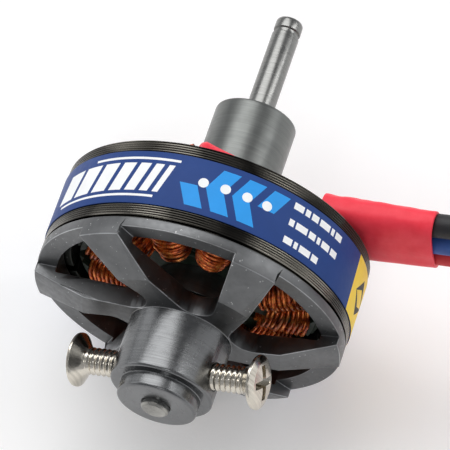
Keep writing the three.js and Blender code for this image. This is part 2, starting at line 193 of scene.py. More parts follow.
LEAD_ROUTES = {
    "black": [
        (8.6, -6.5, 2.3), (14.6, -6.5, 4.0), (17.4, -6.5, 4.8), (20.3, -6.3, 5.0),
        (23.1, -6.1, 4.8), (25.8, -5.7, 3.7), (28.1, -5.3, 2.0), (30.2, -4.9, 0.1),
        (32.4, -4.4, -1.9), (34.4, -4.0, -3.9), (36.5, -3.5, -5.8), (38.9, -3.0, -7.4),
        (41.5, -2.6, -8.6), (44.2, -2.2, -9.5), (47.1, -1.9, -9.8), (50.0, -1.6, -9.9),
    ],
    "blue": [
        (9.0, -6.8, 0.6), (15.1, -6.8, 2.3), (17.7, -6.8, 3.0), (20.4, -6.8, 3.1),
        (23.1, -6.9, 2.8), (25.6, -6.9, 1.7), (27.7, -6.9, 0.1), (29.7, -6.9, -1.7),
        (31.8, -6.9, -3.5), (33.8, -6.9, -5.3), (36.0, -6.8, -6.9), (38.4, -6.7, -8.2),
        (40.9, -6.7, -9.1), (43.6, -6.6, -9.7), (46.3, -6.6, -9.9), (49.0, -6.6, -9.9),
    ],
    "red": [
        (9.5, -6.7, -1.0), (15.5, -6.7, 0.6), (18.0, -6.7, 1.2), (20.6, -7.0, 1.2),
        (23.1, -7.3, 0.7), (25.4, -7.8, -0.3), (27.3, -8.3, -2.0), (29.1, -8.8, -3.7),
        (31.2, -9.2, -5.2), (33.3, -9.7, -6.6), (35.5, -10.1, -7.9), (37.9, -10.6, -8.8),
        (40.3, -11.0, -9.4), (42.9, -11.3, -9.8), (45.4, -11.5, -9.9), (48.0, -11.7, -9.9),
    ],
}

PHASE_WIRES = {
    "a": [(3.7, -7.72, -3.4), (5.3, -7.4, -2.7), (7.04, -6.75, -1.55), (9.0, -6.65, -0.95)],
    "b": [(4.9, -7.72, 1.6), (5.8, -7.3, 0.6), (6.9, -6.75, -0.02), (8.6, -6.65, 0.6)],
    "c": [(5.2, -6.95, 3.17), (5.62, -6.9, 2.9), (6.05, -6.75, 2.4), (6.9, -6.65, 1.95),
          (8.15, -6.65, 2.12)],
    "d": [(-2.4, -6.86, 6.4), (-2.7, -7.0, 6.25), (-3.0, -7.35, 5.95), (-3.3, -7.72, 5.55)],
}

FLOOR_Z = -11.22
FLOOR_HALF = 600

# Edges sharper than this are shaded sharp, in degrees
SHARP = 38
SMALLEST_EDGE = 0.006


# --- Camera ---


def add_camera():
    """A long lens above the propeller end, a little to its right, as a product photo is taken."""
    azimuth, elevation = 17.27 * RAD, 62.25 * RAD
    right = Vector((math.cos(azimuth), math.sin(azimuth), 0))
    back = Vector((math.sin(azimuth) * math.cos(elevation), -math.cos(azimuth) * math.cos(elevation),
                   math.sin(elevation)))
    up = back.cross(right)
    place = Vector((0, CAP_SEAM, 0)) + 2.27 * right + 5.31 * up + 253.5 * back
    camera = bpy.data.cameras.new("camera")
    camera.sensor_width = 36
    camera.lens = 291.3
    camera.clip_start = 0.01
    obj = bpy.data.objects.new("camera", camera)
    turn = Matrix((right, up, back)).transposed().to_4x4()
    obj.matrix_world = Matrix.Translation(place * MM) @ turn
    bpy.context.scene.collection.objects.link(obj)
    bpy.context.scene.camera = obj


# --- Outlines ---

# A rectangle's corners, in turn, as multiples of its half sizes
CORNERS = ((1, 1), (-1, 1), (-1, -1), (1, -1))


def polar(r, angle):
    """The point at a radius and an angle."""
    return Vector((r * math.cos(angle), r * math.sin(angle)))


def arc(r, start, end, steps, centre=(0, 0)):
    """Points round part of a circle, both ends included."""
    middle = Vector(centre)
    return [middle + polar(r, start + (end - start) * i / steps) for i in range(steps + 1)]


def rounded(corners, steps=4):
    """A closed outline from (x, y, radius) corners, with a curve in place of each corner."""
    points = []
    for i, (x, y, radius) in enumerate(corners):
        corner = Vector((x, y))
        if radius == 0:
            points.append(corner)
            continue
        before = Vector(corners[i - 1][:2]) - corner
        after = Vector(corners[(i + 1) % len(corners)][:2]) - corner
        half = before.angle(after) / 2
        reach = min(radius / math.tan(half), 0.49 * before.length, 0.49 * after.length)
        start = corner + before.normalized() * reach
        end = corner + after.normalized() * reach
        for k in range(steps + 1):
            t = k / steps
            points.append((1 - t) ** 2 * start + 2 * t * (1 - t) * corner + t * t * end)
    return points


# --- Meshes ---


def skin(rows, joined=False):
    """A closed mesh from rings of points: the last ring joins the first, or both ends are closed."""
    bm = bmesh.new()
    rings = [[bm.verts.new(point) for point in row] for row in rows]
    pairs = list(zip(rings, rings[1:]))
    if joined:
        pairs.append((rings[-1], rings[0]))
    for ring, following in pairs:
        count = len(ring)
        for k in range(count):
            j = (k + 1) % count
            bm.faces.new((ring[k], ring[j], following[j], following[k]))
    if not joined:
        bm.faces.new(rings[0])
        bm.faces.new(rings[-1])
    return bm


def ring_of_points(r, y, segments):
    """A circle of points round the Y axis."""
    return [(r * math.cos(TURN * k / segments), y, r * math.sin(TURN * k / segments))
            for k in range(segments)]


def turned(outline, segments, joined=True):
    """A body of revolution about Y from an outline of (radius, y) points."""
    return skin([ring_of_points(r, y, segments) for r, y in outline], joined)


def prism(outline, front, rear):
    """A flat outline in X and Z with a thickness along Y."""
    return skin([[(x, y, z) for x, z in outline] for y in (front, rear)])


def swept(path, radius, sides):
    """A round bar along a path. The radius is a number, or a function of the share and the turn."""
    rows = []
    side = None
    for i, point in enumerate(path):
        along = (path[min(i + 1, len(path) - 1)] - path[max(i - 1, 0)]).normalized()
        if side is None:
            side = along.orthogonal().normalized()
        side = (side - along * side.dot(along)).normalized()
        other = along.cross(side)
        share = i / (len(path) - 1)
        row = []
        for k in range(sides):
            turn = TURN * k / sides
            r = radius(share, turn) if callable(radius) else radius
            row.append(point + r * (math.cos(turn) * side + math.sin(turn) * other))
        rows.append(row)
    return skin(rows)


def smooth_path(points, steps):
    """A smooth curve through points, with that many steps between each two."""
    points = [Vector(p) for p in points]
    ends = [2 * points[0] - points[1]] + points + [2 * points[-1] - points[-2]]
    path = []
    for p0, p1, p2, p3 in zip(ends, ends[1:], ends[2:], ends[3:]):
        for k in range(steps):
            t = k / steps
            path.append(0.5 * (2 * p1 + (p2 - p0) * t + (2 * p0 - 5 * p1 + 4 * p2 - p3) * t * t
                               + (3 * p1 - p0 - 3 * p2 + p3) * t ** 3))
    path.append(points[-1])
    return path


def joined_meshes(parts):
    """One mesh made of several, which are used up."""
    whole = bmesh.new()
    for part in parts:
        mesh = bpy.data.meshes.new("part")
        part.to_mesh(mesh)
        part.free()
        whole.from_mesh(mesh)
        bpy.data.meshes.remove(mesh)
    return whole


def add_object(name, bm, materials, sharp=SHARP):
    """An object in metres from a mesh in millimetres, which is used up."""
    bmesh.ops.recalc_face_normals(bm, faces=bm.faces)
    bmesh.ops.scale(bm, vec=(MM, MM, MM), verts=bm.verts)
    mesh = bpy.data.meshes.new(name)
    bm.to_mesh(mesh)
    bm.free()
    for material in materials:
        mesh.materials.append(material)
    mesh.shade_smooth()
    mesh.set_sharp_from_angle(angle=sharp * RAD)
    obj = bpy.data.objects.new(name, mesh)
    bpy.context.scene.collection.objects.link(obj)
    return obj


def cut(obj, bm):
    """Takes a shape out of an object."""
    cutter = add_object("cutter", bm, [])
    modifier = obj.modifiers.new("cut", "BOOLEAN")
    modifier.object = cutter
    modifier.operation = "DIFFERENCE"
    modifier.solver = "EXACT"
    settle(obj)
    bpy.data.objects.remove(cutter)


def bevel(obj, width, segments=2, edge_material=-1):
    """Rounds an object's sharp edges, and can give the rounded strips a material of their own."""
    bm = bmesh.new()
    bm.from_mesh(obj.data)
    bmesh.ops.remove_doubles(bm, verts=bm.verts, dist=SMALLEST_EDGE * MM)
    bmesh.ops.dissolve_degenerate(bm, edges=bm.edges, dist=SMALLEST_EDGE * 2 / 3 * MM)
    bm.to_mesh(obj.data)
    bm.free()
    modifier = obj.modifiers.new("bevel", "BEVEL")
    modifier.width = width * MM
    modifier.segments = segments
    modifier.limit_method = "ANGLE"
    modifier.angle_limit = 32 * RAD
    modifier.material = edge_material
    modifier.use_clamp_overlap = False
    settle(obj)
    flatten_planes(obj.data)


def flatten_planes(mesh):
    """Shades the mesh's flat faces flat, so that only curved surfaces and rounded edges are smooth."""
    mesh.shade_smooth()
    for face in mesh.polygons:
        faces_along_axis = abs(face.normal.y) > 0.9999
        large_side_wall = abs(face.normal.y) < 0.02 and face.area > 0.6 * MM * MM
        if faces_along_axis or large_side_wall:
            face.use_smooth = False


def settle(obj):
    """Makes an object's modifiers part of its mesh."""
    graph = bpy.context.evaluated_depsgraph_get()
    mesh = bpy.data.meshes.new_from_object(obj.evaluated_get(graph), depsgraph=graph)
    obj.modifiers.clear()
    obj.data = mesh
    mesh.set_sharp_from_angle(angle=SHARP * RAD)


def place(obj, node, slot):
    """The object stands for a CAD node and moves with its body. The slot is not used."""
    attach(obj, frame["nodes"][node]["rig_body"])
    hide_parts(node)
    return obj


def add_piece(name, node, bm, slot, sharp=SHARP, edge=0.0):
    """A whole piece in one material, found by the slot's name, with its edges rounded if asked."""
    obj = add_object(name, bm, [MATERIALS[slot]], sharp)
    if edge:
        bevel(obj, edge)
    return place(obj, node, slot)


# --- Materials ---


def srgb(red, green, blue):
    """A colour from 0 to 255 parts, as linear light."""
    parts = [c / 255 for c in (red, green, blue)]
    linear = [c / 12.92 if c <= 0.04045 else ((c + 0.055) / 1.055) ** 2.4 for c in parts]
    return (*linear, 1)


class Finish:
    """A node material that is put together one step at a time."""

    def __init__(self, name, metallic=0.0, **uniform):
        self.name = name
        self.material = bpy.data.materials.new(name)
        self.material.use_nodes = True
        self.tree = self.material.node_tree
        self.shader = self.tree.nodes["Principled BSDF"]
        self.shader.inputs["Metallic"].default_value = metallic
        for key, value in uniform.items():
            self.shader.inputs[key.replace("_", " ")].default_value = value
        self.height = None

    def link(self, value, socket):
        """Joins another node's output to a socket, or gives the socket a plain value."""
        if isinstance(value, bpy.types.NodeSocket):
            self.tree.links.new(value, socket)
        else:
            socket.default_value = value

    def node(self, kind, inputs=(), **settings):
        """A new node, with its inputs and its settings."""
        made = self.tree.nodes.new(kind)
        for key, value in settings.items():
            setattr(made, key, value)
        for key, value in dict(inputs).items():
            self.link(value, made.inputs[key])
        return made

    def place(self, stretch=(1, 1, 1)):
        """The place on the object in millimetres, with each axis stretched."""
        coordinates = self.node("ShaderNodeTexCoord")
        mapping = self.node("ShaderNodeMapping", {"Vector": coordinates.outputs["Object"]})
        mapping.inputs["Scale"].default_value = [s / MM for s in stretch]
        return mapping.outputs["Vector"]

    def noise(self, scale, stretch=(1, 1, 1), detail=4.0, roughness=0.6):
        """Soft noise, with its scale in features for each millimetre."""
        made = self.node("ShaderNodeTexNoise", {
            "Vector": self.place(stretch), "Scale": scale, "Detail": detail, "Roughness": roughness})
        return made.outputs["Fac"]

    def spread(self, value, low, high, start=0.3, end=0.7):
        """The value's range from start to end, spread from low to high."""
        made = self.node("ShaderNodeMapRange", {
            "Value": value, "From Min": start, "From Max": end, "To Min": low, "To Max": high})
        return made.outputs["Result"]

    def colours(self, value, stops):
        """The value's colour on a ramp of (position, colour) stops."""
        ramp = self.node("ShaderNodeValToRGB", {"Fac": value})
        while len(ramp.color_ramp.elements) < len(stops):
            ramp.color_ramp.elements.new(0.5)
        for element, (position, colour) in zip(ramp.color_ramp.elements, stops):
            element.position = position
            element.color = colour
        return ramp.outputs["Color"]

    def mix(self, factor, a, b):
        """One colour mixed into another. The node's colour sockets are told apart by number."""
        made = self.node("ShaderNodeMix", {0: factor, 6: a, 7: b}, data_type="RGBA")
        return made.outputs[2]

    def colour(self, value):
        self.link(value, self.shader.inputs["Base Color"])

    def rough(self, scale, low, high, detail=4.0):
        """A roughness that wanders from low to high."""
        value = self.spread(self.noise(scale, detail=detail), low, high)
        self.link(value, self.shader.inputs["Roughness"])

    def bump(self, height, depth):
        """Raises the surface by up to depth millimetres, on top of any bump before it."""
        made = self.node("ShaderNodeBump", {"Height": height, "Strength": 1.0, "Distance": depth * MM})
        if self.height is not None:
            self.tree.links.new(self.height, made.inputs["Normal"])
        self.height = made.outputs["Normal"]
        self.tree.links.new(self.height, self.shader.inputs["Normal"])

    def grain(self, scale, depth, detail=2.0):
        """An even bump of fine noise."""
        self.bump(self.noise(scale, detail=detail), depth)


# Noise stretched like this runs in rings round the axis
LATHE_LINES = (0.25, 9.0, 0.25)


def bead_blasted(name, dark, light, roughness=(0.32, 0.5)):
    """Anodised or oiled metal with a fine, even grain, rubbed patches and a few bright nicks."""
    finish = Finish(name, metallic=1.0)
    patches = finish.noise(0.35, detail=5)
    tone = finish.colours(patches, [(0.32, dark), (0.7, light)])
    nicks = finish.spread(finish.noise(3.1, detail=3, roughness=0.75), 0, 1, 0.67, 0.73)
    finish.colour(finish.mix(nicks, tone, srgb(214, 214, 214)))
    finish.rough(2.2, *roughness, detail=6)
    finish.grain(14, 0.006)
    return finish


def turned_metal(name, dark, light, roughness=(0.2, 0.38), lines=0.004):
    """Metal with the fine rings that a lathe leaves."""
    finish = Finish(name, metallic=1.0)
    tone = finish.noise(1.0, LATHE_LINES, detail=3)
    finish.colour(finish.colours(tone, [(0.3, dark), (0.72, light)]))
    finish.rough(1.4, *roughness, detail=5)
    finish.bump(finish.noise(1.6, LATHE_LINES, detail=3), lines)
    finish.grain(9, 0.0015)
    return finish


def soft_skin(name, dark, light, roughness, grain, depth, **uniform):
    """Rubber, heat-shrink or lacquer: one colour with slight patches and a fine uneven skin."""
    finish = Finish(name, **uniform)
    finish.colour(finish.colours(finish.noise(0.6, detail=4), [(0.3, dark), (0.7, light)]))
    finish.rough(3, *roughness)
    finish.grain(grain, depth, 3)
    return finish


def make_materials():
    """Every piece's material by name."""
    finishes = [
        bead_blasted("cap_aluminium", srgb(98, 99, 100), srgb(116, 117, 118)),
        # The cap's rounded edges: lighter metal that is partly wear and partly a painted highlight
        bead_blasted("cap_edge_wear_and_highlight", srgb(112, 113, 114), srgb(184, 185, 187), (0.28, 0.42)),
        turned_metal("hub_aluminium", srgb(104, 105, 106), srgb(122, 123, 124), (0.2, 0.3)),
        ring_steel(),
        # Nickel-plated magnets coloured dark greenish grey: painted shade, as they sit deep inside the
        # bell
        bead_blasted("magnet_nickel", srgb(36, 40, 36), srgb(58, 62, 58)),
        turned_metal("shaft_steel", srgb(122, 122, 120), srgb(140, 140, 138), (0.24, 0.32), 0.0007),
        turned_metal("shaft_tip", srgb(112, 111, 107), srgb(186, 184, 178), (0.2, 0.4)),
        turned_metal("screw_nickel", srgb(190, 184, 172), srgb(226, 220, 208), (0.12, 0.24), 0.001),
        turned_metal("bearing_steel", srgb(140, 140, 142), srgb(176, 176, 178)),
        bead_blasted("bearing_shield", srgb(96, 90, 80), srgb(126, 119, 108)),
        turned_metal("tube_aluminium", srgb(106, 108, 106), srgb(120, 122, 120), (0.3, 0.42), 0.002),
        winding_copper(),
        core_epoxy(),
        soft_skin("insulator_epoxy", srgb(20, 34, 22), srgb(36, 52, 36), (0.35, 0.55), 8, 0.006),
        soft_skin("red_heat_shrink", srgb(246, 58, 74), srgb(255, 74, 90),
                  (0.36, 0.5), 3.0, 0.012, Specular_IOR_Level=0.25),
        soft_skin("silicone_black", srgb(18, 18, 20), srgb(32, 32, 36), (0.42, 0.6), 7, 0.006),
        soft_skin("silicone_blue", srgb(36, 72, 144), srgb(52, 96, 172), (0.42, 0.6), 7, 0.006),
        soft_skin("silicone_red", srgb(190, 32, 40), srgb(216, 46, 54), (0.42, 0.6), 7, 0.006),
        turned_metal("plug_gold", srgb(196, 148, 62), srgb(224, 180, 92), (0.16, 0.3), 0.001),
    ]
    for name, (red, green, blue) in INKS.items():
        dark = srgb(red * 0.96, green * 0.96, blue * 0.96)
        finishes.append(soft_skin(name, dark, srgb(red, green, blue), (0.4, 0.52), 6, 0.0015,
                                  Specular_IOR_Level=0.12))
    return {finish.name: finish.material for finish in finishes}


def ring_steel():
    """Oiled steel, much darker in wide patches round the ring, with fine turned lines."""
    finish = Finish("ring_steel", metallic=1.0)
    tone = finish.colours(finish.noise(1.0, LATHE_LINES, detail=3), [
        (0.3, srgb(104, 101, 94)), (0.72, srgb(146, 142, 133))])
    patches = finish.spread(finish.noise(0.14, detail=1), 0, 0.85, 0.44, 0.56)
    finish.colour(finish.mix(patches, tone, srgb(26, 25, 24)))
    finish.rough(1.4, 0.13, 0.22)
    finish.bump(finish.noise(1.6, LATHE_LINES, detail=3), 0.0015)
    return finish


def winding_copper():
    """Enamelled wire: each turn is lighter or darker than the next, with dark patches of painted shade.
    """
    finish = Finish("winding_copper", metallic=0.6, Coat_Weight=0.35, Coat_Roughness=0.15)
    tone = finish.colours(finish.noise(2.4, detail=2), [
        (0.34, srgb(138, 52, 18)), (0.5, srgb(232, 108, 42)), (0.66, srgb(255, 164, 80))])
    # Wide dark patches mixed into the copper: painted shade
    painted_shade = finish.spread(finish.noise(0.55, detail=3), 0, 0.8, 0.48, 0.64)
    finish.colour(finish.mix(painted_shade, tone, srgb(72, 24, 10)))
    finish.rough(5, 0.2, 0.4, 3)
    finish.grain(10, 0.003)
    return finish


def core_epoxy():
    """Lacquered steel laminations: the edges of the sheets show as fine lines."""
    finish = Finish("core_epoxy")
    finish.colour(finish.colours(finish.noise(1.2, detail=4), [
        (0.3, srgb(20, 30, 20)), (0.7, srgb(40, 54, 38))]))
    finish.rough(4, 0.35, 0.55, 3)
    sheets = finish.node("ShaderNodeTexWave", {
        "Vector": finish.place((0, 1, 0)), "Scale": 1.6, "Distortion": 0.0},
        wave_type="BANDS", bands_direction="Y")
    finish.bump(sheets.outputs["Fac"], 0.02)
    finish.grain(7, 0.008, 3)
    return finish


MATERIALS = make_materials()


# --- Bell ---


def spoke_side(side, angle):
    """One straight side of a spoke: its point at the rim and its direction towards the hub."""
    offset, lean = side
    turn = Matrix.Rotation(angle, 2)
    return turn @ Vector((BELL_R, offset)), turn @ Vector((-1, lean)).normalized()


def on_circle(side, r):
    """Where a spoke's side meets a circle round the axis."""
    at, inward = side
    along = at.dot(inward)
    return at + inward * (-along - math.sqrt(along * along - at.length_squared + r * r))


def window_outline(spoke, outer_r):
    """The opening between a spoke and the next, out to a radius, with a round corner at the hub."""
    angle = FIRST_SPOKE + spoke * TURN / SPOKES
    near = spoke_side(LEADING_SIDE, angle)
    far = spoke_side(TRAILING_SIDE, angle + TURN / SPOKES)
    start = on_circle(near, outer_r)
    end = on_circle(far, outer_r)
    gap = far[0] - near[0]
    cross = near[1].x * far[1].y - near[1].y * far[1].x
    corner = near[0] + near[1] * ((gap.x * far[1].y - gap.y * far[1].x) / cross)
    half = near[1].angle(far[1]) / 2
    middle = -(near[1] + far[1]).normalized()
    centre = corner + middle * (WINDOW_CORNER_R / math.sin(half))
    turn = math.pi / 2 - half
    back = math.atan2(-middle.y, -middle.x)
    from_angle = math.atan2(start.y, start.x)
    to_angle = from_angle + (math.atan2(end.y, end.x) - from_angle) % TURN
    hub_corner = arc(WINDOW_CORNER_R, back - turn, back + turn, 12, centre)
    step = TURN / CAP_SEGMENTS
    between = range(math.ceil(from_angle / step + 0.3), math.floor(to_angle / step - 0.3) + 1)
    rim = [polar(outer_r, from_angle)] + [polar(outer_r, i * step) for i in between]
    return rim + [polar(outer_r, to_angle)] + hub_corner


def facing_out(bm, angle):
    """Turns a shape built along Y to lie along a radius at the screws' height."""
    across = Vector((-math.sin(angle), 0, math.cos(angle)))
    outward = Vector((math.cos(angle), 0, math.sin(angle)))
    turn = Matrix((Vector((0, -1, 0)), outward, across)).transposed().to_4x4()
    bm.transform(Matrix.Translation((0, SCREW_Y, 0)) @ turn)
    return bm


def add_bell_cap():
    """A turned cap with six windows, open at the rim's front, and a cross hole for the screws."""
    bore = SHAFT_R + BORE_CLEARANCE / 2
    profile = rounded([
        (bore, BOSS_FRONT, 0.12), (BOSS_R, BOSS_FRONT, 0.22), (BOSS_R, HUB_FRONT, 0.08),
        (HUB_R, HUB_FRONT, 0.2), (HUB_R, SPOKE_ROOT_FRONT, 0),
        (SPOKE_BEND_R, SPOKE_ROOT_FRONT, 0), (BELL_R, SPOKE_TIP_FRONT, 0), (BELL_R, CAP_SEAM, 0.09),
        (SPIGOT_R, CAP_SEAM, 0.04), (SPIGOT_R, SPIGOT_REAR, 0.08), (RIM_BORE_R, SPIGOT_REAR, 0.06),
        (RIM_BORE_R, CAP_BACK, 0.15), (bore, CAP_BACK, 0.05),
    ])
    finishes = [MATERIALS[name] for name in ("cap_aluminium", "cap_edge_wear_and_highlight", "hub_aluminium")]
    cap = add_object("cap", turned(profile, CAP_SEGMENTS), finishes)
    for outer_r, rear in ((RIM_BORE_R, RING_REAR), (BELL_R + 1, RIM_FRONT)):
        cut(cap, joined_meshes([prism(window_outline(i, outer_r), HUB_FRONT, rear)
                                for i in range(SPOKES)]))
    hole = turned([(SCREW_HOLE_R, -HOLE_REACH), (SCREW_HOLE_R, HOLE_REACH)], 48, False)
    cut(cap, facing_out(hole, SCREW_ANGLE))
    # The rounded strips take the lighter edge finish: partly wear, partly painted highlight
    bevel(cap, 0.045, edge_material=WORN_AND_HIGHLIT_EDGE)
    for face in cap.data.polygons:
        on_hub = face.center.y < (SPOKE_ROOT_FRONT - 0.05) * MM
        if on_hub and face.material_index == BLASTED:
            face.material_index = LATHE_TURNED
    return place(cap, "bell_cap", "cap_aluminium")


def ring_outline():
    """The flux ring's section, with fine grooves where the label leaves it bare."""
    depth, land, chamfer, grooves = 0.06, 0.55, 0.012, 5
    outline = [(RING_BORE_R, RING_REAR + 0.05), (RING_BORE_R, RING_FRONT + 0.05),
               (RING_BORE_R + 0.05, RING_FRONT), (BELL_R - 0.3, RING_FRONT),
               (BELL_R - 0.26, RING_FRONT + 0.07), (BELL_R - 0.02, RING_FRONT + 0.1)]
    bands = ((RING_FRONT + 0.14, LABEL_Y[0] + 0.05), (LABEL_Y[1] - 0.05, RING_REAR - 0.1))
    for start, end in bands:
        pitch = (end - start) / grooves
        for i in range(grooves):
            y = start + i * pitch
            land_end = y + pitch * land
            outline += [(BELL_R - chamfer, y), (BELL_R, y + 0.02),
                        (BELL_R, land_end - 0.02), (BELL_R - chamfer, land_end),
                        (BELL_R - depth, y + pitch * (land + 0.3))]
    outline += [(BELL_R, RING_REAR - 0.09), (BELL_R - 0.03, RING_REAR - 0.03),
                (BELL_R - 0.12, RING_REAR), (RING_BORE_R + 0.05, RING_REAR)]
    return outline


def add_flux_ring():
    """The turned steel ring behind the cap."""
    add_piece("ring", "flux_ring", turned(ring_outline(), 300), "ring_steel", sharp=40)


def add_magnets():
    """Arc magnets on the ring's inner wall, one for each pole."""
    for i in range(MAGNETS):
        middle = TURN * i / MAGNETS
        start, end = middle - MAGNET_ARC / 2, middle + MAGNET_ARC / 2
        outline = arc(MAGNET_R[1], start, end, 10) + arc(MAGNET_R[0], end, start, 10)
        # The magnets take a dark finish that paints the shade inside the bell
        add_piece(f"magnet_bar_{i + 1:02d}", f"magnet_{i + 1:02d}", prism(outline, *MAGNET_Y),
                  "magnet_nickel", edge=0.09)


# --- Label ---

# How far the label's surface runs for each degree round the bell
DEGREE = LABEL_R[1] * RAD


def slanted(left, right, bottom, top, slant=0.0):
    """A four-cornered print shape. Left and right are degrees round the bell, from its right side."""
    shift = slant * (top - bottom) / DEGREE
    return [Vector((left, bottom)), Vector((right, bottom)), Vector((right - shift, top)),
            Vector((left - shift, top))]


def disc(at, y, r, steps=24):
    """A round print shape at a place in degrees and y."""
    rim = [polar(r, TURN * i / steps) for i in range(steps)]
    return [Vector((at + point.x / DEGREE, y + point.y)) for point in rim]


def frame_outline(outline, width):
    """Narrow quads round a closed outline of (degrees, y) points."""
    centre = sum(outline, Vector((0, 0))) / len(outline)
    quads = []
    for a, b in zip(outline, outline[1:] + outline[:1]):
        inner = [p + (centre - p) * (width / ((centre - p).length * DEGREE + 0.01)) for p in (b, a)]
        quads.append([a, b, *inner])
    return quads


def label_print():
    """The label's plain generic graphics, as (ink, outline) pairs in degrees round the bell and y."""
    bottom, top = LABEL_Y
    shapes = []
    bars = [(156, 9.5), (144.5, 8), (134.5, 6.5), (126, 5.2), (119, 4.2), (113, 3.2), (108, 2.2)]
    for left, width in bars:
        shapes.append(("label_white", slanted(left, left - width, bottom + 1.0, top - 0.95, 0.3)))
    shapes.append(("label_white", slanted(137, 101, top - 0.66, top - 0.48)))
    shapes.append(("label_white", slanted(153, 107, bottom + 0.55, bottom + 0.73)))
    for left in (95, 85.5, 76):
        shapes.append(("label_sky", slanted(left, left - 6.4, bottom + 0.45, LABEL_MIDDLE, -0.5)))
        shapes.append(("label_sky", slanted(left - 5.3, left - 11.7, LABEL_MIDDLE, top - 0.45, 0.5)))
    rows = [(0.45, (5, 3, 4, 6, 2.5, 4.5)), (1.75, (3, 6, 4, 2.5, 5, 4.5)), (3.1, (4.5, 2.5, 6, 4))]
    for below_top, dashes in rows:
        left = 58.0
        for width in dashes:
            dash = slanted(left, left - width + 0.9, top - below_top - 0.5, top - below_top)
            shapes.append(("label_white", dash))
            left -= width
    yellow = [Vector((18.9, top)), Vector((16.7, bottom)), Vector((-38, bottom)), Vector((-36, top))]
    shapes.append(("label_yellow", yellow))
    return shapes


def label_marks():
    """Marks printed over the sky blue and yellow fields."""
    bottom, top = LABEL_Y
    diamond = [Vector((6, top - 0.7)), Vector((-4, LABEL_MIDDLE)), Vector((6, bottom + 0.7)),
               Vector((13, LABEL_MIDDLE))]
    marks = [("label_black", quad) for quad in frame_outline(diamond, 0.16)]
    marks += [("label_white", disc(at, LABEL_MIDDLE + 0.3, 0.36)) for at in (91, 83, 75, 67.5)]
    for i in range(3):
        y = top - 1.2 - 0.8 * i
        marks.append(("label_black", slanted(-9, -29 + 5 * i, y - 0.25, y)))
    return marks


def wrapped(shapes, r):
    """Flat shapes laid round the bell at a radius, cut finely enough to follow its curve."""
    inks = list(INKS)
    bm = bmesh.new()
    for ink, outline in shapes:
        piece = bmesh.new()
        piece.faces.new([piece.verts.new((p.x, p.y, 0)) for p in outline])
        low = math.floor(min(p.x for p in outline) / PRINT_STEP) * PRINT_STEP
        high = math.ceil(max(p.x for p in outline))
        for at in range(low + PRINT_STEP, high, PRINT_STEP):
            everything = list(piece.verts) + list(piece.edges) + list(piece.faces)
            bmesh.ops.bisect_plane(piece, geom=everything, plane_co=(at, 0, 0), plane_no=(1, 0, 0))
        for face in piece.faces:
            corners = []
            for vert in face.verts:
                angle = vert.co.x * RAD
                corners.append(bm.verts.new((r * math.cos(angle), vert.co.y, r * math.sin(angle))))
            made = bm.faces.new(corners)
            made.material_index = inks.index(ink)
        piece.free()
    bmesh.ops.remove_doubles(bm, verts=bm.verts, dist=0.0005)
    for face in bm.faces:
        outward = Vector((face.calc_center_median().x, 0, face.calc_center_median().z))
        face.normal_update()
        if face.normal.dot(outward) < 0:
            face.normal_flip()
    return bm


def add_label():
    """A thin blue band with its print laid on it in two layers."""
    front, rear = LABEL_Y
    band = rounded([(LABEL_R[0], rear, 0), (LABEL_R[0], front, 0), (LABEL_R[1], front, 0.03),
                    (LABEL_R[1], rear, 0.03)], 2)
    parts = [turned(band, 240)]
    for level, shapes in enumerate((label_print(), label_marks()), 1):
        layer = wrapped(shapes, LABEL_R[1] + level * PRINT_LIFT)
        bottom = bmesh.ops.extrude_face_region(layer, geom=list(layer.faces))
        for item in bottom["geom"]:
            if isinstance(item, bmesh.types.BMVert):
                shrink = (LABEL_R[1] - 0.01) / math.hypot(item.co.x, item.co.z)
                item.co.x *= shrink
                item.co.z *= shrink
        parts.append(layer)
    label = add_object("label", joined_meshes(parts), [MATERIALS[ink] for ink in INKS])
    return place(label, "label_band", "label_print")


# --- Shaft and fittings ---


def add_shaft():
    """The shaft from its front end in the boss to its rear tip, with its two grooves."""
    r, core, chamfer = SHAFT_R, 0.02, 0.17
    grooves = []
    for (front, rear, floor_r), edge, lip in ((CLIP_GROOVE, 0.03, 0.03), (TIP_GROOVE, 0.05, 0.08)):
        grooves += [(r, front, edge), (floor_r, front, edge), (floor_r, rear, edge), (r, rear, lip)]
    profile = rounded([
        (core, SHAFT_FRONT, 0), (r - chamfer, SHAFT_FRONT, 0.05), (r, SHAFT_FRONT + chamfer, 0.05),
        *grooves, (r, SHAFT_REAR, 0.3), (core, SHAFT_REAR, 0),
    ])
    shaft = add_object("shaft_rod", turned(profile, 64, False),
                       [MATERIALS["shaft_steel"], MATERIALS["shaft_tip"]])
    for face in shaft.data.polygons:
        if face.center.y < BOSS_FRONT * MM:
            face.material_index = 1
    return place(shaft, "shaft", "shaft_steel")


def thread_depth(along, turn):
    """How far a thread's surface is below its crest, from 0 to 1."""
    return (0.5 - 0.5 * math.cos(TURN * (along / THREAD_PITCH - turn / TURN))) ** 0.8


def screw_rows():
    """Rings of points for a screw built along Y, with a helical thread on its shank."""
    steps = 40
    flare_from, flare_steps = HEAD_FROM - 0.05, 10
    rows = []
    along = SCREW_INNER
    while along < flare_from:
        fade = min(1.0, max(0.0, (flare_from - along) / 0.25))
        lead_in = min(1.0, 0.6 + (along - SCREW_INNER) / 0.6)
        row = []
        for k in range(steps):
            turn = TURN * k / steps
            r = (SCREW_R - 0.13 * fade * thread_depth(along, turn)) * lead_in
            row.append((r * math.cos(turn), along, r * math.sin(turn)))
        rows.append(row)
        along += THREAD_PITCH / 10
    shares = [i / flare_steps for i in range(flare_steps)]
    flare = [(SCREW_R + (HEAD_R - SCREW_R) * t ** 1.25, flare_from + (HEAD_RIM[0] - flare_from) * t)
             for t in shares]
    head = rounded([
        (*flare[-1], 0), (HEAD_R, HEAD_RIM[0], 0.03), (HEAD_R, HEAD_RIM[1], 0.08),
        (HEAD_R * 0.74, HEAD_TOP - 0.12, 0.5), (HEAD_R * 0.4, HEAD_TOP - 0.02, 0.5), (0.1, HEAD_TOP, 0),
    ])[1:]
    return rows + [ring_of_points(r, y, steps) for r, y in flare + head]


